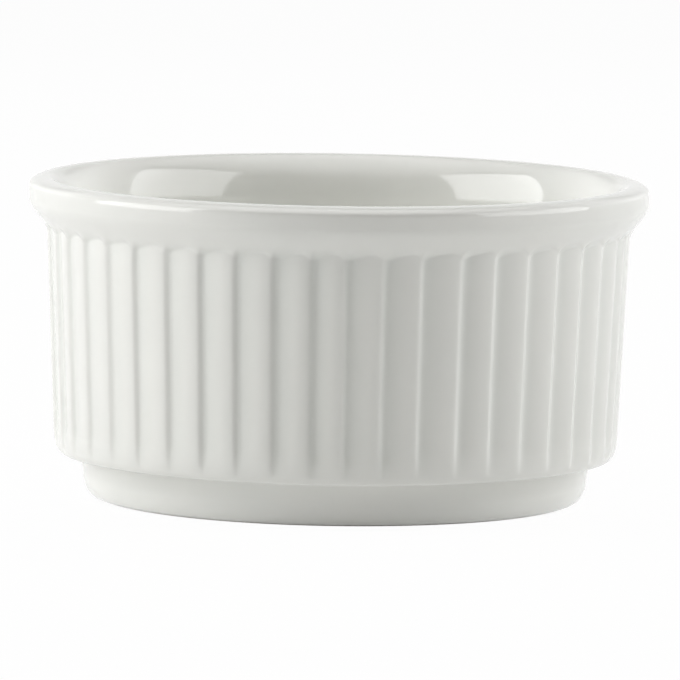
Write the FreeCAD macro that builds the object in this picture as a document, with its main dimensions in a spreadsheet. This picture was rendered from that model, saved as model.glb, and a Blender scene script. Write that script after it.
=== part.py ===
import FreeCAD, Part
import math
import os
import Sketcher

# Porcelain ramekin, millimetres, +Z up, origin at the middle of the table plane.
# One fired body carries a glaze coat outside, over the rim and in the well.
# A separate patch of glaze lies inside the foot ring, and the standing ring is bare.

doc = FreeCAD.newDocument("ramekin")

# Driving sizes. Lengths are millimetres, turns are degrees, shares have no unit.
values = {
    "rim_dia": 90.0,
    "height": 46.4,
    "lip_outer_r": 1.7,
    "lip_flat": 0.9,
    "lip_inner_r": 1.56,
    "lip_long_r": 11.74,
    "lip_turn": 35.0,
    "lip_band": 0.85,
    "under_lip_r": 4.0,
    "cove_r": 2.5,
    "cove_drop": 5.3,
    "cove_turn": 47.0,
    "wall_top_dia": 84.7,
    "wall_low_dia": 82.0,
    "edge_z": 9.95,
    "edge_r": 5.5,
    "foot_z": 6.45,
    "foot_top_dia": 74.0,
    "foot_dia": 73.2,
    "foot_round_z": 3.5,
    "foot_round_r": 4.0,
    "ring_inner_dia": 63.0,
    "recess_dia": 60.4,
    "recess_depth": 2.0,
    "well_low_dia": 74.4,
    "well_fillet": 5.0,
    "floor_z": 7.0,
    "glaze_thick": 0.3,
    "glaze_stop": 0.3,
    "under_glaze_dia": 59.4,
    "pleat_count": 47,
    "pleat_depth": 0.52,
    "pleat_rise": 0.45,
    "pleat_end_turn": 46.0,
    "pleat_start_share": 0.326,
    "pleat_step_share": 0.25,
    "pleat_run_share": 0.97,
    "pleat_reach_share": 1.8,
    "overrun": 1.0,
    "end_clear": 0.15,
}

sheet = doc.addObject("Spreadsheet::Sheet", "Sizes")
for row, (alias, number) in enumerate(values.items(), 1):
    sheet.set("A%d" % row, alias)
    sheet.set("B%d" % row, str(number))
    sheet.setAlias("B%d" % row, alias)
doc.recompute()


# A size holds its number and the expression that binds it to the sheet.
class Size:
    def __init__(self, number, text):
        self.number = number
        self.text = text

    def __add__(self, other):
        other = as_size(other)
        return Size(self.number + other.number, "(%s + %s)" % (self.text, other.text))

    def __sub__(self, other):
        other = as_size(other)
        return Size(self.number - other.number, "(%s - %s)" % (self.text, other.text))

    def __mul__(self, other):
        other = as_size(other)
        return Size(self.number * other.number, "(%s * %s)" % (self.text, other.text))

    def __truediv__(self, other):
        other = as_size(other)
        return Size(self.number / other.number, "(%s / %s)" % (self.text, other.text))


def as_size(item):
    if isinstance(item, Size):
        return item
    return Size(float(item), str(item))


def named(alias):
    return Size(float(sheet.get(alias)), "Sizes.%s" % alias)


def root_of(item):
    return Size(math.sqrt(item.number), "sqrt(%s)" % item.text)


def sine(turn):
    return Size(math.sin(math.radians(turn.number)), "sin(%s * 1 deg)" % turn.text)


def cosine(turn):
    return Size(math.cos(math.radians(turn.number)), "cos(%s * 1 deg)" % turn.text)


nothing = Size(0.0, "0")

rim_r = named("rim_dia") / 2
height = named("height")
lip_outer_r = named("lip_outer_r")
lip_inner_r = named("lip_inner_r")
lip_long_r = named("lip_long_r")
lip_turn = named("lip_turn")
under_lip_r = named("under_lip_r")
cove_r = named("cove_r")
cove_turn = named("cove_turn")
wall_top_r = named("wall_top_dia") / 2
wall_low_r = named("wall_low_dia") / 2
edge_z = named("edge_z")
edge_r = named("edge_r")
foot_z = named("foot_z")
foot_r = named("foot_dia") / 2
foot_round_z = named("foot_round_z")
foot_round_r = named("foot_round_r")
floor_z = named("floor_z")
well_fillet = named("well_fillet")
well_low_r = named("well_low_dia") / 2
glaze_thick = named("glaze_thick")
glaze_stop = named("glaze_stop")
overrun = named("overrun")

lip_in = rim_r - lip_outer_r - named("lip_flat")
band_low_z = height - lip_outer_r - named("lip_band")
wall_top_z = band_low_z - named("cove_drop")
base_under_z = named("recess_depth") + glaze_thick


# Height of an arc's far end is set; its distance from the axis follows from the centre.
def arc_reach(centre_r, centre_z, radius, end_z):
    fall = centre_z - end_z
    return centre_r + root_of(radius * radius - fall * fall)


# Shared part of the section, from the well's floor over the rim to the foot's rounding.
# inset is how far the surface lies under the glazed surface.
# Each point: distance from the axis, height, and the arc centre's height if an arc follows.
def section(inset, end_z):
    well_centre_z = floor_z + well_fillet
    lip_in_z = height - lip_inner_r
    lip_more_r = lip_long_r - lip_inner_r
    lip_long_z = lip_in_z - lip_more_r * sine(lip_turn)
    lip_foot_r = lip_in + lip_more_r * cosine(lip_turn) - lip_long_r
    lip_skin_r = lip_inner_r - inset
    lip_out_z = height - lip_outer_r
    under_centre_r = rim_r - under_lip_r
    under_r = under_lip_r - inset
    cove_centre_r = wall_top_r + cove_r
    hollow_r = cove_r + inset
    edge_centre_r = wall_low_r - edge_r
    foot_centre_r = foot_r - foot_round_r
    return [
        (nothing, floor_z - inset, None),
        (well_low_r - well_fillet, floor_z - inset, well_centre_z),
        (well_low_r + inset, well_centre_z, None),
        (lip_foot_r + inset, lip_long_z, lip_long_z),
        (lip_in - lip_skin_r * cosine(lip_turn), lip_in_z + lip_skin_r * sine(lip_turn), lip_in_z),
        (lip_in, height - inset, None),
        (rim_r - lip_outer_r, height - inset, lip_out_z),
        (rim_r - inset, lip_out_z, None),
        (rim_r - inset, band_low_z, band_low_z),
        (under_centre_r + under_r * cosine(cove_turn), band_low_z - under_r * sine(cove_turn), None),
        (cove_centre_r - hollow_r * cosine(cove_turn), wall_top_z + hollow_r * sine(cove_turn), wall_top_z),
        (wall_top_r - inset, wall_top_z, None),
        (wall_low_r - inset, edge_z, edge_z),
        (arc_reach(edge_centre_r, edge_z, edge_r - inset, foot_z + inset), foot_z + inset, None),
        (named("foot_top_dia") / 2 - inset, foot_z + inset, None),
        (foot_r - inset, foot_round_z, foot_round_z),
        (arc_reach(foot_centre_r, foot_round_z, foot_round_r - inset, end_z), end_z, None),
    ]


def hold(sketch, kind, geometry, point, size):
    index = sketch.addConstraint(Sketcher.Constraint(kind, -1, 1, geometry, point, size.number))
    sketch.setExpression("Constraints[%d]" % index, size.text)


def place_point(sketch, geometry, point, r, z):
    for kind, size, axis in (("DistanceX", r, -2), ("DistanceY", z, -1)):
        if size.text == nothing.text:
            sketch.addConstraint(Sketcher.Constraint("PointOnObject", geometry, point, axis))
        else:
            hold(sketch, kind, geometry, point, size)


# Arc centre from its two ends and its height, for the first guess of the sketch.
def arc_middle(first, last, centre_z):
    mid = (first + last) * 0.5
    run = last - first
    across = FreeCAD.Vector(-run.y, run.x, 0)
    return mid + across * ((centre_z - mid.y) / across.y)


# Closed outline of lines and arcs, every point bound to the sheet.
def outline(sketch, points):
    total = len(points)
    spots = [FreeCAD.Vector(r.number, z.number, 0) for r, z, centre_z in points]
    starts = []
    for index in range(total):
        first = spots[index]
        last = spots[(index + 1) % total]
        centre_z = points[index][2]
        if centre_z is None:
            geometry = sketch.addGeometry(Part.LineSegment(first, last), False)
            starts.append((geometry, 1, 2))
            continue
        middle = arc_middle(first, last, centre_z.number)
        one = math.atan2(first.y - middle.y, first.x - middle.x)
        two = math.atan2(last.y - middle.y, last.x - middle.x)
        turn = (two - one) % math.tau
        circle = Part.Circle(middle, FreeCAD.Vector(0, 0, 1), (first - middle).Length)
        if turn < math.pi:
            geometry = sketch.addGeometry(Part.ArcOfCircle(circle, one, one + turn), False)
            starts.append((geometry, 1, 2))
        else:
            geometry = sketch.addGeometry(Part.ArcOfCircle(circle, two, two + math.tau - turn), False)
            starts.append((geometry, 2, 1))
    for index in range(total):
        geometry, begin, end = starts[index]
        following, following_begin, following_end = starts[(index + 1) % total]
        sketch.addConstraint(Sketcher.Constraint("Coincident", geometry, end, following, following_begin))
    for index, (r, z, centre_z) in enumerate(points):
        geometry, begin, end = starts[index]
        place_point(sketch, geometry, begin, r, z)
        if centre_z is not None:
            hold(sketch, "DistanceY", geometry, 3, centre_z)


def origin_item(body, role):
    for item in body.Origin.OriginFeatures:
        if item.Role == role:
            return item
    raise RuntimeError("no origin item " + role)


def new_sketch(body, name, role):
    sketch = body.newObject("Sketcher::SketchObject", name)
    sketch.AttachmentSupport = (origin_item(body, role), [""])
    sketch.MapMode = "FlatFace"
    return sketch


# Plan of one knife pleat's hollow: a short steep step down to the root, then a broad
# face that climbs back to the next crest. Both lines run on past the crest.
def pleat_plan(crest_r, root_r):
    pitch = as_size(360) / named("pleat_count")
    start = pitch * named("pleat_start_share")
    root_turn = start + pitch * named("pleat_step_share")
    end = start + pitch * named("pleat_run_share")
    reach = named("pleat_reach_share")
    root = (root_r * cosine(root_turn), root_r * sine(root_turn))
    corners = []
    for turn in (start, end):
        crest = (crest_r * cosine(turn), crest_r * sine(turn))
        corners.append(tuple(near + (far - near) * reach for near, far in zip(root, crest)))
    return [(root[0], root[1], None)] + [(x, y, None) for x, y in corners]


# Turned form with its pleats. The hollows run out over the rounded lower edge of the
# wall, and at the top they ramp out into the cove under the rim.
def pleated_form(name, points, inset):
    body = doc.addObject("PartDesign::Body", name)
    turned = new_sketch(body, name + "_section", "XZ_Plane")
    outline(turned, points)
    solid = body.newObject("PartDesign::Revolution", name + "_turned")
    solid.Profile = turned
    solid.ReferenceAxis = (turned, ["V_Axis"])
    solid.Angle = 360.0
    doc.recompute()

    crest_top = wall_top_r - inset
    mid_z = wall_top_z + named("pleat_rise")
    low_z = foot_z - overrun
    draft = (wall_top_r - wall_low_r) / (mid_z - edge_z)
    crest_low = wall_low_r - inset - draft * (edge_z - low_z)
    depth = named("pleat_depth")
    end_turn = named("pleat_end_turn")
    hollow_r = cove_r + inset
    root_end = wall_top_r + cove_r - hollow_r * cosine(end_turn) + named("end_clear")
    end_z = wall_top_z + hollow_r * sine(end_turn)
    stations = [
        ("low", low_z, crest_low, crest_low - depth),
        ("mid", mid_z, crest_top, crest_top - depth),
        ("end", end_z, root_end + depth, root_end),
    ]
    plans = []
    for station, level, crest_r, root_r in stations:
        plan = new_sketch(body, "%s_pleat_%s" % (name, station), "XY_Plane")
        plan.AttachmentOffset = FreeCAD.Placement(FreeCAD.Vector(0, 0, level.number), FreeCAD.Rotation())
        plan.setExpression("AttachmentOffset.Base.z", level.text)
        outline(plan, pleat_plan(crest_r, root_r))
        plans.append(plan)
    hollow = body.newObject("PartDesign::SubtractiveLoft", name + "_pleat")
    hollow.Profile = plans[0]
    hollow.Sections = plans[1:]
    hollow.Ruled = True
    doc.recompute()
    ring = body.newObject("PartDesign::PolarPattern", name + "_pleats")
    ring.Originals = [hollow]
    ring.Axis = (origin_item(body, "Z_Axis"), [""])
    ring.Angle = 360.0
    ring.setExpression("Occurrences", "Sizes.pleat_count")
    body.Tip = ring
    doc.recompute()
    print(name, "turned volume", round(solid.Shape.Volume, 1), "pleated", round(body.Shape.Volume, 1))
    return body


# Fired porcelain body: floor, pleated wall, rim and foot ring, with the recess under its base.
ring_in = named("ring_inner_dia") / 2
recess_r = named("recess_dia") / 2
body_points = section(glaze_thick, nothing) + [
    (ring_in, nothing, None),
    (recess_r, base_under_z, None),
    (nothing, base_under_z, None),
]
porcelain = pleated_form("porcelain_body", body_points, glaze_thick)
porcelain.Label = "porcelain_body"

# The same form at the glazed surface, closed inside the porcelain's own thickness.
core_r = (ring_in + foot_r) / 2
core_z = (base_under_z + floor_z) / 2
form_points = section(nothing, glaze_stop) + [
    (core_r, glaze_stop, None),
    (core_r, core_z, None),
    (nothing, core_z, None),
]
glazed = pleated_form("glazed_form", form_points, nothing)

# Glaze coat: what lies between the glazed surface and the porcelain.
coat = doc.addObject("Part::Cut", "glaze_coat")
coat.Base = glazed
coat.Tool = porcelain
coat.Label = "glaze_coat"

# Glaze patch under the base, inside the foot ring.
patch = doc.addObject("Part::Cylinder", "underside_glaze")
patch.setExpression("Radius", "Sizes.under_glaze_dia / 2")
patch.setExpression("Height", "Sizes.glaze_thick")
patch.Placement = FreeCAD.Placement(FreeCAD.Vector(0, 0, named("recess_depth").number), FreeCAD.Rotation())
patch.setExpression("Placement.Base.z", "Sizes.recess_depth")
patch.Label = "underside_glaze"
doc.recompute()

for item in doc.Objects:
    if "Invalid" in item.State or "Error" in item.State:
        raise RuntimeError("failed object " + item.Label)

nodes = [porcelain, coat, patch]
for node in nodes:
    shape = node.Shape
    if shape.isNull() or not shape.isValid():
        raise RuntimeError("bad shape " + node.Label)
    print(node.Label, "solids", len(shape.Solids), "volume", round(shape.Volume, 2), "faces", len(shape.Faces))

os.makedirs("parts", exist_ok=True)
for node in nodes:
    node.Shape.exportStep("parts/%s.step" % node.Label)
box = porcelain.Shape.BoundBox
whole = coat.Shape.BoundBox
print("body box", [round(v, 3) for v in (box.XMin, box.YMin, box.ZMin, box.XMax, box.YMax, box.ZMax)])
print("glaze box", [round(v, 3) for v in (whole.XMin, whole.YMin, whole.ZMin, whole.XMax, whole.YMax, whole.ZMax)])
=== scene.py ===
import bpy
import math
from mathutils import Matrix, Vector, noise


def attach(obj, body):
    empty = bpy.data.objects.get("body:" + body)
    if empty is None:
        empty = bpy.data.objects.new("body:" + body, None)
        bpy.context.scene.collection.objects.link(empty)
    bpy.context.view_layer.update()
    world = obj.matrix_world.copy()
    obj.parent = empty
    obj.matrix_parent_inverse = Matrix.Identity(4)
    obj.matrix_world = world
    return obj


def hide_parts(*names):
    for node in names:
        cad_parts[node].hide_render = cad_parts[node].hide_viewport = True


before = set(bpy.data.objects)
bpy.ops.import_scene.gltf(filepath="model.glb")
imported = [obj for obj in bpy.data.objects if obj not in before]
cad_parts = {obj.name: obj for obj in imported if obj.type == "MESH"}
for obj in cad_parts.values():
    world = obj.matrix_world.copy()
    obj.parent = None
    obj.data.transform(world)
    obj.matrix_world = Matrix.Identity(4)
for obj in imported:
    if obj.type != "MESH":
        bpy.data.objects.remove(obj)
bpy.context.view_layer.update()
mm = 0.001  # sizes of the dish are millimetres, Blender works in metres
axisR = 1e-6  # a row this near the axis is a single point
print("frame loaded:", sorted(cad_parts))

# section of the glazed surface, from the well's middle out over the rim and down to the foot
dish = {
    "height": 46.4,
    "rimR": 45.0,            # widest part of the lip
    "crestR": 42.6,          # top line of the lip
    "lipTop": 1.15,          # fall from the crest to the lip's upright band
    "lipLowZ": 43.4,         # upright band ends, the cove begins
    "wallTopR": 42.36,
    "wallTopZ": 38.56,
    "wallLowR": 41.05,
    "wallLowRun": 2.4,       # lowest stretch of the wall, with closer rows
    "edgeZ": 10.1,           # rounded lower edge begins
    "edgeIn": 1.21,
    "stepZ": 6.45,           # underside of the wall's lower edge
    "stepFillet": 0.55,
    "footTopR": 36.98,
    "footR": 36.6,
    "footRoundZ": 3.3,
    "footLowR": 34.5,
    "wellTopR": 39.0,        # inside of the lip turns upright here
    "wellTopZ": 39.0,
    "wellLowR": 37.3,
    "wellFillet": 5.0,
    "floorZ": 7.0,
    "glazeStopZ": 0.25,
    "glazeThick": 0.29,
    "ringInnerR": 31.5,
    "recessR": 30.2,
    "recessZ": 2.3,
}
wallLean = (dish["wallTopR"] - dish["wallLowR"]) / (dish["wallTopZ"] - dish["edgeZ"])

# rows of the mesh along each stretch of the section
rowSteps = {
    "wellFloor": 9,
    "wellFillet": 9,
    "wellWall": 9,
    "lipInside": 22,
    "lipOutside": 12,
    "lipBand": 4,
    "cove": 44,
    "wall": 20,
    "wallLow": 9,
    "edge": 16,
    "step": 3,
    "stepFillet": 5,
    "foot": 4,
    "footRound": 14,
}

# knife pleats round the wall; depthShares runs from one pleat's start to the next
pleats = {
    "count": 47,
    "startTurn": -87.8,      # where the first pleat starts, degrees round from +X
    "frontFrom": -10,        # unevenness of the front pleats: places in degrees, depths as shares
    "frontShifts": [1.0, 0.5, 0.5, 0.75, 0.8, 1.3, 1.25, 1.1, 1.05, 0.85,
                    -0.15, -0.35, -0.5, 0.05, -0.2, 0.1, 0.4, 0.6, 1.0, 1.5],
    "frontDepths": [0.85, 0.85, 0.85, 0.78, 0.96, 0.95, 1.0, 0.93, 1.05, 1.32,
                    1.2, 1.25, 1.02, 1.0, 0.96, 0.97, 0.95, 0.95, 0.95, 0.95],
    "depth": 0.48,
    "depthShares": [(0.0, 0.92), (0.04, 0.985), (0.075, 1.0), (0.11, 0.975), (0.16, 0.90), (0.24, 0.745),
                    (0.34, 0.545), (0.46, 0.32), (0.58, 0.14), (0.68, 0.03), (0.75, 0.0), (0.81, 0.03),
                    (0.86, 0.13), (0.90, 0.33), (0.94, 0.62), (0.975, 0.83), (1.0, 0.92)],
    "columnShares": [0.0, 0.035, 0.07, 0.11, 0.155, 0.205, 0.26, 0.32, 0.38, 0.44, 0.50,
                     0.56, 0.62, 0.68, 0.73, 0.78, 0.825, 0.865, 0.90, 0.935, 0.965, 0.985],
    "topZ": 40.4,            # top of the arch that ends each hollow under the rim
    "archAt": 0.38,
    "archHalf": 0.47,
    "archDrop": 1.25,
    "archPower": 4.0,
    "archWrap": 0.9,         # past here the next pleat's arch counts
    "closeSlope": 0.24,      # how fast a hollow closes below its arch
    "closeCurve": 0.1,
    "softness": 0.18,        # glaze rounds the ends of the hollows
    "brinkSoftness": 0.09,
    "footZ": 7.5,            # hollows fade out towards here
    "footRun": 3.7,
    "fadeSoftness": 0.2,
    "edgeShare": 0.25,       # relief left on the rounded lower edge
    "edgeRun": 1.6,
    "turnJitter": 0.35,      # degrees, for the pleats round the back
    "turnNoise": (1.7, 3.1, 0.4),
    "depthJitter": 0.08,
    "depthNoise": (0.6, 2.3, 5.2),
}
carvedZones = ("cove", "wall", "edge")

# slow unevenness of fired and glazed ware
ware = {
    "outside": 0.035,
    "well": 0.03,
    "around": 1.9,           # how often it swells round the dish and up it
    "upward": 0.045,
    "fineShare": 0.4,
    "fineScale": 2.7,
    "fullR": 20.0,           # it dies away from here to the middle
}


def lineRun(start, end, steps):
    return [(start[0] + (end[0] - start[0]) * i / steps, start[1] + (end[1] - start[1]) * i / steps)
            for i in range(1, steps + 1)]


def ovalRun(centre, reach, fromDeg, toDeg, steps):
    run = []
    for i in range(1, steps + 1):
        turn = math.radians(fromDeg + (toDeg - fromDeg) * i / steps)
        run.append((centre[0] + reach[0] * math.cos(turn), centre[1] + reach[1] * math.sin(turn)))
    return run


# rise from 0 to 1, level at both ends
def ease(t):
    t = min(max(t, 0.0), 1.0)
    return t * t * (3 - 2 * t)


def coveRun(top, bottom, steps):
    return [(top[0] + (bottom[0] - top[0]) * ease(i / steps), top[1] + (bottom[1] - top[1]) * i / steps)
            for i in range(1, steps + 1)]


# rows of the outer surface as (radius, height, zone): those under glaze, then the bare ones
def glazeRows(d, steps):
    rows = [(0.0, d["floorZ"], "well")]

    def add(zone, run):
        rows.extend((r, z, zone) for r, z in run)

    flatR = d["wellLowR"] - d["wellFillet"]
    filletZ = d["floorZ"] + d["wellFillet"]
    add("well", lineRun((0.0, d["floorZ"]), (flatR, d["floorZ"]), steps["wellFloor"]))
    add("well", ovalRun((flatR, filletZ), (d["wellFillet"],) * 2, -90, 0, steps["wellFillet"]))
    add("well", lineRun((d["wellLowR"], filletZ), (d["wellTopR"], d["wellTopZ"]), steps["wellWall"]))
    insideReach = (d["crestR"] - d["wellTopR"], d["height"] - d["wellTopZ"])
    add("lip", ovalRun((d["crestR"], d["wellTopZ"]), insideReach, 180, 90, steps["lipInside"]))
    bandTopZ = d["height"] - d["lipTop"]
    outsideReach = (d["rimR"] - d["crestR"], d["lipTop"])
    add("lip", ovalRun((d["crestR"], bandTopZ), outsideReach, 90, 0, steps["lipOutside"]))
    add("lip", lineRun((d["rimR"], bandTopZ), (d["rimR"], d["lipLowZ"]), steps["lipBand"]))
    wallTop = (d["wallTopR"], d["wallTopZ"])
    wallMid = (d["wallLowR"] + wallLean * d["wallLowRun"], d["edgeZ"] + d["wallLowRun"])
    add("cove", coveRun((d["rimR"], d["lipLowZ"]), wallTop, steps["cove"]))
    add("wall", lineRun(wallTop, wallMid, steps["wall"]))
    add("wall", lineRun(wallMid, (d["wallLowR"], d["edgeZ"]), steps["wallLow"]))
    edgeR = d["wallLowR"] - d["edgeIn"]
    edgeReach = (d["edgeIn"], d["edgeZ"] - d["stepZ"])
    add("edge", ovalRun((edgeR, d["edgeZ"]), edgeReach, 0, -90, steps["edge"]))
    fillet = d["stepFillet"]
    filletR = d["footTopR"] + fillet
    underZ = d["stepZ"] - fillet
    add("foot", lineRun((edgeR, d["stepZ"]), (filletR, d["stepZ"]), steps["step"]))
    add("foot", ovalRun((filletR, underZ), (fillet, fillet), 90, 180, steps["stepFillet"]))
    add("foot", lineRun((d["footTopR"], underZ), (d["footR"], d["footRoundZ"]), steps["foot"]))
    footReach = (d["footR"] - d["footLowR"], d["footRoundZ"])
    add("foot", ovalRun((d["footLowR"], d["footRoundZ"]), footReach, 0, -90, steps["footRound"]))
    stop = next(i for i, row in enumerate(rows) if row[2] == "foot" and row[1] < d["glazeStopZ"])
    return rows[:stop], rows[stop:]


# depth share at place u of a pleat, smooth between the listed shares
def depthShare(u):
    table = pleats["depthShares"]
    k = max(i for i in range(len(table) - 1) if table[i][0] <= u)

    def slope(i):
        before = table[i - 1] if i else (table[-2][0] - 1, table[-2][1])
        after = table[i + 1] if i < len(table) - 1 else (table[1][0] + 1, table[1][1])
        return (after[1] - before[1]) / (after[0] - before[0])

    (u0, a), (u1, b) = table[k], table[k + 1]
    w = u1 - u0
    t = (u - u0) / w
    return ((2 * t ** 3 - 3 * t * t + 1) * a + (t ** 3 - 2 * t * t + t) * w * slope(k)
            + (3 * t * t - 2 * t ** 3) * b + (t ** 3 - t * t) * w * slope(k + 1))


# the lesser of two values, rounded off where they are closer than soft
def softMin(a, b, soft):
    h = max(soft - abs(a - b), 0.0) / soft
    return min(a, b) - h * h * soft / 4


# a pleat's place against an even spacing, and its depth
def pleatLot(k):
    front = (k - pleats["frontFrom"]) % pleats["count"]
    if front < len(pleats["frontShifts"]):
        return pleats["frontShifts"][front], pleats["frontDepths"][front]
    x, y, z = pleats["turnNoise"]
    shift = pleats["turnJitter"] * noise.noise(Vector((k * x, y, z)))
    x, y, z = pleats["depthNoise"]
    return shift, 1 + pleats["depthJitter"] * noise.noise(Vector((x, k * y, z)))


# height at which the hollow ends at place u
def hollowTop(u):
    if u > pleats["archWrap"]:
        u -= 1
    away = abs(u - pleats["archAt"]) / pleats["archHalf"]
    return pleats["topZ"] - pleats["archDrop"] * min(1.0, away ** pleats["archPower"])


# columns of the wall as (turn, hollow's depth, hollow's top)
def pleatColumns():
    count = pleats["count"]
    columns = []
    for k in range(count):
        shift, deep = pleatLot(k)
        nextShift, nextDeep = pleatLot((k + 1) % count)
        for u in pleats["columnShares"]:
            turn = pleats["startTurn"] + (k + u) * 360.0 / count + shift + (nextShift - shift) * u
            here = deep + (nextDeep - deep) * u
            columns.append((math.radians(turn), depthShare(u) * here * pleats["depth"], hollowTop(u)))
    return columns


# distance from the axis with the pleat's hollow taken out
def carvedR(r, z, zone, depth, top):
    if zone not in carvedZones:
        return r
    fade = softMin(1.0, max(0.0, (z - pleats["footZ"]) / pleats["footRun"]), pleats["fadeSoftness"])
    share = pleats["edgeShare"] + (1 - pleats["edgeShare"]) * fade
    if zone == "edge":
        return r - depth * share * ease((z - dish["stepZ"]) / pleats["edgeRun"])
    under = top - z
    closing = under * (pleats["closeSlope"] + pleats["closeCurve"] * max(0.0, under))
    straight = r - dish["wallLowR"] - (z - dish["edgeZ"]) * wallLean + depth * share
    carve = softMin(straight, closing, pleats["softness"])
    return r + softMin(-carve, 0.0, pleats["brinkSoftness"])


def uneven(r, z, zone, turn):
    place = Vector((math.cos(turn) * ware["around"], math.sin(turn) * ware["around"], z * ware["upward"]))
    swell = noise.noise(place) + ware["fineShare"] * noise.noise(place * ware["fineScale"])
    amount = ware["well"] if zone == "well" else ware["outside"]
    return amount * swell * min(1.0, r / ware["fullR"])


# a skin through rings of points, each ring a full turn or one point on the axis
def ringMesh(name, grid, hollowShares=None):
    verts = []
    rings = []
    hollowShare = []
    for index, ring in enumerate(grid):
        rings.append(range(len(verts), len(verts) + len(ring)))
        verts.extend(ring)
        hollowShare.extend(hollowShares[index] if hollowShares else [0.0] * len(ring))
    faces = []
    for upper, lower in zip(rings, rings[1:]):
        total = max(len(upper), len(lower))
        for c in range(total):
            n = (c + 1) % total
            if len(upper) == 1:
                faces.append((upper[0], lower[c], lower[n]))
            elif len(lower) == 1:
                faces.append((upper[c], lower[0], upper[n]))
            else:
                faces.append((upper[c], lower[c], lower[n], upper[n]))
    mesh = bpy.data.meshes.new(name)
    mesh.from_pydata(verts, [], faces)
    mesh.polygons.foreach_set("use_smooth", [True] * len(mesh.polygons))
    layer = mesh.attributes.new("hollowDepth", "FLOAT", "POINT")
    layer.data.foreach_set("value", hollowShare)
    mesh.update()
    piece = bpy.data.objects.new(name, mesh)
    bpy.context.scene.collection.objects.link(piece)
    return piece


# inward direction of the section at each row, as (radius, height)
def rowInward(rows):
    inward = []
    for i in range(len(rows)):
        a = rows[max(i - 1, 0)]
        b = rows[min(i + 1, len(rows) - 1)]
        run = Vector((b[0] - a[0], b[1] - a[1])).normalized()
        inward.append((run.y, -run.x))
    inward[0] = (0.0, -1.0)
    return inward


def pointAt(r, z, turn):
    return (r * math.cos(turn) * mm, r * math.sin(turn) * mm, z * mm)


# a row's ring of points, set in from the surface, and how deep the hollow is at each, which darkens the
# glaze colour there
def carvedRing(row, inward, inset, columns):
    r, z, zone = row
    if r < axisR:
        return [(0.0, 0.0, (z + inward[1] * inset) * mm)], [0.0]
    ring = []
    hollowShare = []
    for turn, depth, top in columns:
        here = carvedR(r, z, zone, depth, top) + uneven(r, z, zone, turn)
        ring.append(pointAt(here + inward[0] * inset, z + inward[1] * inset, turn))
        hollowShare.append(max(0.0, r - here) / pleats["depth"] if zone in carvedZones else 0.0)
    return ring, hollowShare


wallColumns = pleatColumns()
coatRows, bareRows = glazeRows(dish, rowSteps)
coatInward = rowInward(coatRows)

# lower end of the glaze coat, rounded under to its hidden side
coatEnd = {"in": 0.04, "down": 0.12, "insetShare": 0.5}


# glaze coat: a closed skin, its outside first and then its hidden side back to the middle
def makeGlazeCoat(e):
    thick = dish["glazeThick"]
    rings = [carvedRing(row, inward, 0.0, wallColumns) for row, inward in zip(coatRows, coatInward)]
    lastR, lastZ, lastZone = coatRows[-1]
    endRow = (lastR - e["in"], lastZ - e["down"], lastZone)
    rings.append(carvedRing(endRow, coatInward[-1], thick * e["insetShare"], wallColumns))
    for i in list(range(len(coatRows) - 1, 0, -2)) + [0]:
        rings.append(carvedRing(coatRows[i], coatInward[i], thick, wallColumns))
    grid, hollowShares = zip(*rings)
    return ringMesh("glazeCoat", grid, hollowShares)


# bare clay under the dish: standing ring, slope up from it and recess
bareBase = {
    "glazeGap": 0.012,         # keeps the clay clear of the glaze's hidden side
    "footShare": 0.85,         # share of the inset kept on the bare part of the foot
    "ringFlatRs": (33.2, 32.4),
    "ringRound": (0.5, 0.45),
    "ringRoundIn": 0.35,
    "slopeLowZ": 0.6,
    "slopeTopZ": 1.8,
    "slopeIn": 0.5,
    "recessRound": 0.55,
    "recessRoundZ": 1.75,
    "recessRs": (24.0, 14.0),
    "ringSteps": 4,
    "slopeSteps": 3,
}


# porcelain body under the glaze, bare on its standing ring and in the recess
def makePorcelainBody(b):
    halfColumns = wallColumns[::2]
    inset = dish["glazeThick"] + b["glazeGap"]
    covered = list(range(0, len(coatRows) - 1, 2)) + [len(coatRows) - 1]
    grid = [carvedRing(coatRows[i], coatInward[i], inset, halfColumns)[0] for i in covered]
    ringCentre = (dish["ringInnerR"] + b["ringRoundIn"], b["ringRound"][1])
    slopeLow = (dish["ringInnerR"], b["slopeLowZ"])
    slopeTop = (dish["recessR"] + b["slopeIn"], b["slopeTopZ"])
    recessCentre = (dish["recessR"], b["recessRoundZ"])
    bare = [(r - inset * b["footShare"], z) for r, z, zone in bareRows]
    bare += [(r, 0.0) for r in b["ringFlatRs"]]
    bare += ovalRun(ringCentre, b["ringRound"], 270, 200, b["ringSteps"])
    bare += lineRun(slopeLow, slopeTop, b["slopeSteps"])
    bare += ovalRun(recessCentre, (b["recessRound"],) * 2, 10, 90, b["ringSteps"])
    bare += [(r, dish["recessZ"]) for r in b["recessRs"]]
    grid += [carvedRing((r, z, "foot"), (0.0, 0.0), 0.0, halfColumns)[0] for r, z in bare]
    grid.append([(0.0, 0.0, dish["recessZ"] * mm)])
    return ringMesh("porcelainBody", grid)


undersidePatch = {
    "radius": 29.7,
    "thick": 0.29,
    "edge": 0.14,            # rounding of its rim
    "topZ": 2.29,
    "columns": 160,
    "topSteps": 5,
    "edgeSteps": 8,
    "lowSteps": 14,
    "stray": 0.25,           # how far its outline wanders
    "strayTurns": 3,
    "straySeed": 7.0,
}


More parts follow.
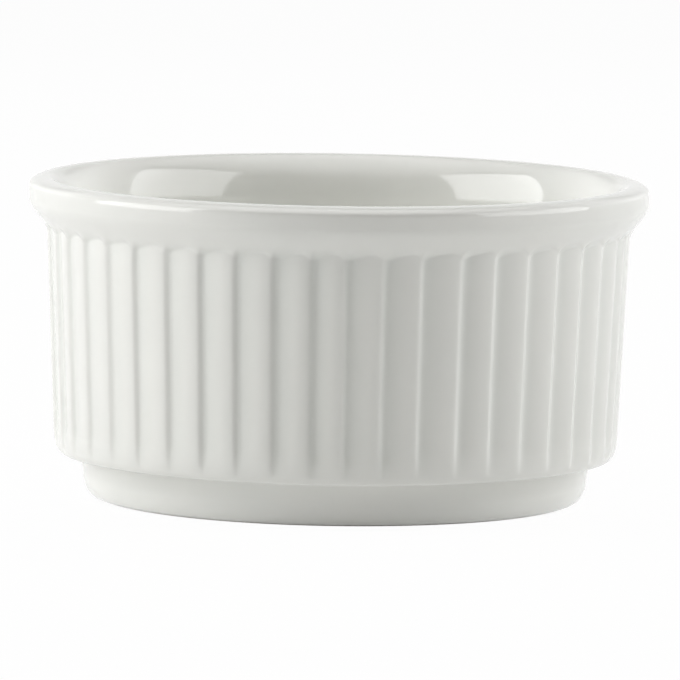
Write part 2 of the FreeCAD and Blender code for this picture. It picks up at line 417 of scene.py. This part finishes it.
# glaze inside the foot ring, with a soft edge all round
def makeUndersideGlaze(p):
    flatR = p["radius"] - p["edge"]
    lowZ = p["topZ"] - p["thick"]
    rows = [(0.0, p["topZ"])] + lineRun((0.0, p["topZ"]), (flatR, p["topZ"]), p["topSteps"])
    rows += ovalRun((flatR, p["topZ"] - p["edge"]), (p["edge"],) * 2, 90, -90, p["edgeSteps"])
    rows += lineRun((flatR, lowZ), (0.0, lowZ), p["lowSteps"])
    outline = []
    for c in range(p["columns"]):
        turn = math.tau * c / p["columns"]
        place = Vector((math.cos(turn) * p["strayTurns"], math.sin(turn) * p["strayTurns"], p["straySeed"]))
        outline.append((turn, 1 + p["stray"] * noise.noise(place) / p["radius"]))
    grid = []
    for r, z in rows:
        if r < axisR:
            grid.append([(0.0, 0.0, z * mm)])
        else:
            grid.append([pointAt(r * stretch, z, turn) for turn, stretch in outline])
    return ringMesh("undersideGlaze", grid)


def newMaterial(name):
    material = bpy.data.materials.new(name)
    material.use_nodes = True
    return material, material.node_tree.nodes, material.node_tree.links


def addNode(nodes, kind, **settings):
    node = nodes.new(kind)
    for key, value in settings.items():
        if key in node.inputs:
            node.inputs[key].default_value = value
        else:
            setattr(node, key, value)
    return node


def addNoise(nodes, links, scale, detail, roughness):
    coord = nodes.new("ShaderNodeTexCoord")
    cloud = addNode(nodes, "ShaderNodeTexNoise", Scale=scale, Detail=detail, Roughness=roughness)
    links.new(coord.outputs["Object"], cloud.inputs["Vector"])
    return cloud.outputs["Fac"]


def addTone(nodes, links, source, span, lowColour, highColour):
    node = nodes.new("ShaderNodeValToRGB")
    for element, position, colour in zip(node.color_ramp.elements, span, (lowColour, highColour)):
        element.position = position
        element.color = (*colour, 1)
    links.new(source, node.inputs["Fac"])
    return node.outputs["Color"]


def addRoughness(nodes, links, source, span):
    node = nodes.new("ShaderNodeMapRange")
    node.inputs["To Min"].default_value, node.inputs["To Max"].default_value = span
    links.new(source, node.inputs["Value"])
    links.new(node.outputs["Result"], nodes["Principled BSDF"].inputs["Roughness"])


def addBump(nodes, links, source, height):
    node = addNode(nodes, "ShaderNodeBump", Strength=1.0, Distance=height)
    links.new(source, node.inputs["Height"])
    links.new(node.outputs["Normal"], nodes["Principled BSDF"].inputs["Normal"])


glazeFinish = {
    "white": (0.860, 0.862, 0.826),
    "cool": (0.834, 0.842, 0.808),       # faint clouds in the white
    "cloud": {"scale": 55.0, "detail": 3.0, "roughness": 0.55},
    "cloudSpan": (0.3, 0.75),
    "hollowTint": (0.95, 0.96, 0.955),     # darker glaze colour where the hollows are deepest
    "hollowSpan": (0.15, 1.0),
    "ior": 1.5,
    "roughness": (0.05, 0.11),
    "peel": {"scale": 420.0, "detail": 1.5, "roughness": 0.4},
    "peelHeight": 0.000012,              # metres
}


def makeGlazeFinish(g):
    material, nodes, links = newMaterial("whiteGlaze")
    shader = nodes["Principled BSDF"]
    shader.inputs["IOR"].default_value = g["ior"]
    cloud = addNoise(nodes, links, **g["cloud"])
    tone = addTone(nodes, links, cloud, g["cloudSpan"], g["cool"], g["white"])
    # glaze colour darkened where the hollow is deepest
    hollowShare = addNode(nodes, "ShaderNodeAttribute", attribute_name="hollowDepth")
    hollowTone = addTone(nodes, links, hollowShare.outputs["Fac"], g["hollowSpan"], (1, 1, 1), g["hollowTint"])
    blend = addNode(nodes, "ShaderNodeMix", data_type="RGBA", blend_type="MULTIPLY")
    blend.inputs[0].default_value = 1.0
    links.new(tone, blend.inputs[6])  # 6 and 7 are its two colours, output 2 their product
    links.new(hollowTone, blend.inputs[7])
    links.new(blend.outputs[2], shader.inputs["Base Color"])
    addRoughness(nodes, links, cloud, g["roughness"])
    addBump(nodes, links, addNoise(nodes, links, **g["peel"]), g["peelHeight"])
    return material


biscuitFinish = {
    "clay": (0.78, 0.765, 0.73),
    "worn": (0.70, 0.68, 0.645),
    "patch": {"scale": 140.0, "detail": 4.0, "roughness": 0.6},
    "patchSpan": (0.35, 0.62),
    "roughness": (0.55, 0.8),
    "grain": {"scale": 2600.0, "detail": 2.0, "roughness": 0.6},
    "grainHeight": 0.00003,              # metres
}


def makeBiscuitFinish(b):
    material, nodes, links = newMaterial("bareBiscuit")
    patch = addNoise(nodes, links, **b["patch"])
    tone = addTone(nodes, links, patch, b["patchSpan"], b["worn"], b["clay"])
    links.new(tone, nodes["Principled BSDF"].inputs["Base Color"])
    grain = addNoise(nodes, links, **b["grain"])
    addRoughness(nodes, links, grain, b["roughness"])
    addBump(nodes, links, grain, b["grainHeight"])
    return material


whiteGlaze = makeGlazeFinish(glazeFinish)
bareBiscuit = makeBiscuitFinish(biscuitFinish)
print("finishes made")

for piece, node, finish, slotName in (
    (makeGlazeCoat(coatEnd), "glaze_coat", whiteGlaze, "glaze"),
    (makePorcelainBody(bareBase), "porcelain_body", bareBiscuit, "biscuit"),
    (makeUndersideGlaze(undersidePatch), "underside_glaze", whiteGlaze, "glaze"),
):
    piece.data.materials.append(finish)
    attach(piece, "root")
    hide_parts(node)
    print("piece", piece.name, len(piece.data.vertices), "points")

# pale floor, in metres: lit as a matt surface, and near white to the camera with the shadow kept
floorLook = {
    "size": 8.0,
    "drop": 0.00005,         # just below the standing ring
    "matt": (0.95, 0.95, 0.95),
    "whiteShare": 0.965,
}


def makeFloor(f):
    half = f["size"] / 2
    mesh = bpy.data.meshes.new("floor")
    corners = [(-half, -half), (half, -half), (half, half), (-half, half)]
    mesh.from_pydata([(x, y, -f["drop"]) for x, y in corners], [], [(0, 1, 2, 3)])
    floor = bpy.data.objects.new("floor", mesh)
    bpy.context.scene.collection.objects.link(floor)
    material, nodes, links = newMaterial("paleFloor")
    nodes.clear()
    matt = addNode(nodes, "ShaderNodeBsdfDiffuse", Color=(*f["matt"], 1))
    glow = addNode(nodes, "ShaderNodeEmission", Color=(1, 1, 1, 1), Strength=1.0)
    path = nodes.new("ShaderNodeLightPath")
    seen = path.outputs["Is Camera Ray"]
    for ray in ("Is Glossy Ray", "Is Transmission Ray"):
        either = addNode(nodes, "ShaderNodeMath", operation="MAXIMUM")
        links.new(seen, either.inputs[0])
        links.new(path.outputs[ray], either.inputs[1])
        seen = either.outputs[0]
    share = addNode(nodes, "ShaderNodeMath", operation="MULTIPLY")
    share.inputs[1].default_value = f["whiteShare"]
    links.new(seen, share.inputs[0])
    mix = nodes.new("ShaderNodeMixShader")
    links.new(share.outputs[0], mix.inputs["Fac"])
    links.new(matt.outputs[0], mix.inputs[1])
    links.new(glow.outputs[0], mix.inputs[2])
    out = nodes.new("ShaderNodeOutputMaterial")
    links.new(mix.outputs[0], out.inputs["Surface"])
    mesh.materials.append(material)


makeFloor(floorLook)

# soft boxes: azimuth from the camera's side, positive to its right, and sizes in metres
# those with a tall value are upright panels, the others round
# the first two are what the gloss mirrors, the rest light the matt part of the glaze
softBoxes = {
    "leftMirrored": {"azimuth": -77, "elevation": 14, "distance": 0.90, "across": 0.78, "tall": 0.95,
                     "glow": 4.6, "mirrored": True},
    "rightMirrored": {"azimuth": 78.5, "elevation": 14, "distance": 0.90, "across": 0.86, "tall": 0.95,
                      "glow": 3.5, "mirrored": True},
    "leftWide": {"azimuth": -74, "elevation": 14, "distance": 0.75, "across": 0.80, "glow": 1.95},
    "leftInner": {"azimuth": -88, "elevation": 14, "distance": 0.77, "across": 0.513, "glow": 0.5},
    "leftHigh": {"azimuth": -88, "elevation": 40, "distance": 0.79, "across": 0.474, "glow": 2.62},
    "leftRear": {"azimuth": -120, "elevation": 20, "distance": 0.75, "across": 0.50, "glow": 0.1},
    "rightInner": {"azimuth": 88, "elevation": 14, "distance": 0.75, "across": 0.50, "glow": 2.55},
    "rightHigh": {"azimuth": 88, "elevation": 40, "distance": 0.79, "across": 0.474, "glow": 2.0},
    "rightRear": {"azimuth": 120, "elevation": 20, "distance": 0.75, "across": 0.50, "glow": 0.7},
    "leftBack": {"azimuth": -145, "elevation": 25, "distance": 0.75, "across": 0.60, "glow": 0.25},
    "rightBack": {"azimuth": 145, "elevation": 25, "distance": 0.75, "across": 0.60, "glow": 0.45},
    "rear": {"azimuth": 180, "elevation": 30, "distance": 0.75, "across": 0.60, "glow": 0.55},
    "frontHigh": {"azimuth": 0, "elevation": 60, "distance": 0.90, "across": 0.70, "glow": 0.5,
                  "tint": (1.0, 0.94, 0.82)},
}
lampAimZ = 0.03


def makeSoftBox(name, s):
    mirrored = s.get("mirrored", False)
    lamp = bpy.data.lights.new(name, "AREA")
    lamp.shape = "RECTANGLE" if "tall" in s else "DISK"
    lamp.size = s["across"]
    lamp.size_y = s.get("tall", s["across"])
    lamp.color = s.get("tint", (1.0, 1.0, 1.0))
    area = s["across"] * s["tall"] if "tall" in s else math.pi * (s["across"] / 2) ** 2
    lamp.energy = s["glow"] * math.pi * area  # watts for an even glow
    box = bpy.data.objects.new(name, lamp)
    bpy.context.scene.collection.objects.link(box)
    side = math.radians(s["azimuth"])
    lift = math.radians(s["elevation"])
    aim = Vector((math.sin(side) * math.cos(lift), -math.cos(side) * math.cos(lift), math.sin(lift)))
    box.location = aim * s["distance"] + Vector((0, 0, lampAimZ))
    box.rotation_euler = aim.to_track_quat("Z", "Y").to_euler()
    box.visible_camera = False
    box.visible_glossy = mirrored
    box.visible_diffuse = not mirrored


for boxName, settings in softBoxes.items():
    makeSoftBox(boxName, settings)

# panels overhead, at the sides and behind, seen only in the gloss of the lip and the well
# each is a stack of disks from narrow to wide, so that its edge is soft
softPanels = {
    "over": {"azimuth": 0, "elevation": 80, "distance": 0.95, "across": (0.9, 2.3), "glow": 3.0},
    "leftSide": {"azimuth": -127, "elevation": 26, "distance": 0.98, "across": (0.6, 1.5), "glow": 1.35},
    "rightSide": {"azimuth": 127, "elevation": 26, "distance": 0.98, "across": (0.6, 1.5), "glow": 1.35},
    "behind": {"azimuth": 180, "elevation": 8, "distance": 1.10, "across": (0.9, 2.0), "glow": 0.45},
}
panelStack = {"disks": 6, "gap": 0.01}


def makeSoftPanel(name, p):
    narrow, wide = p["across"]
    disks = panelStack["disks"]
    for i in range(disks):
        disk = dict(p, mirrored=True, glow=p["glow"] / disks)
        disk["distance"] += panelStack["gap"] * i
        disk["across"] = narrow + (wide - narrow) * i / (disks - 1)
        makeSoftBox("%s%d" % (name, i), disk)


for panelName, settings in softPanels.items():
    makeSoftPanel(panelName, settings)

# the room: dim on the camera's side, pale behind the dish
roomLook = {"front": (0.05, 0.05, 0.05), "back": (0.52, 0.52, 0.52), "span": (0.35, 0.75)}


def makeRoom(r):
    world = bpy.data.worlds.new("studio")
    world.use_nodes = True
    nodes = world.node_tree.nodes
    links = world.node_tree.links
    coord = nodes.new("ShaderNodeTexCoord")
    parts = nodes.new("ShaderNodeSeparateXYZ")
    links.new(coord.outputs["Generated"], parts.inputs[0])
    place = nodes.new("ShaderNodeMapRange")
    place.inputs["From Min"].default_value = -1.0  # a direction's Y runs from -1 to 1
    links.new(parts.outputs["Y"], place.inputs["Value"])
    tone = addTone(nodes, links, place.outputs["Result"], r["span"], r["front"], r["back"])
    links.new(tone, nodes["Background"].inputs["Color"])
    bpy.context.scene.world = world


makeRoom(roomLook)
print("floor and lamps set")

# camera fitted to the photograph: long lens, a little above the rim, a touch of roll
view = {
    "elevation": 6.085,
    "distance": 1.45102,
    "roll": 0.885,
    "focalPixels": 9993.8,
    "aimZ": 0.02319,
    "aimPixel": (336.92, 338.22),
    "framePixels": 680,
    "sensor": 36.0,
    "clip": (0.01, 50.0),
}


def makeCamera(v):
    data = bpy.data.cameras.new("photoCamera")
    data.sensor_fit = "HORIZONTAL"
    data.sensor_width = v["sensor"]
    data.lens = v["focalPixels"] / v["framePixels"] * v["sensor"]
    data.clip_start, data.clip_end = v["clip"]
    camera = bpy.data.objects.new("photoCamera", data)
    bpy.context.scene.collection.objects.link(camera)
    lift = math.radians(v["elevation"])
    roll = math.radians(v["roll"])
    forward = Vector((0, math.cos(lift), -math.sin(lift)))
    flatUp = Vector((0, math.sin(lift), math.cos(lift)))
    flatRight = Vector((1, 0, 0))
    right = flatRight * math.cos(roll) + flatUp * math.sin(roll)
    up = flatUp * math.cos(roll) - flatRight * math.sin(roll)
    scale = v["distance"] / v["focalPixels"]
    middle = v["framePixels"] / 2
    place = Vector((0, 0, v["aimZ"])) - forward * v["distance"]
    place += right * (middle - v["aimPixel"][0]) * scale - up * (middle - v["aimPixel"][1]) * scale
    axes = Matrix((right, up, -forward)).transposed().to_4x4()
    camera.matrix_world = Matrix.Translation(place) @ axes
    bpy.context.scene.camera = camera


makeCamera(view)
bpy.context.scene.view_settings.view_transform = "Standard"
print("camera set")
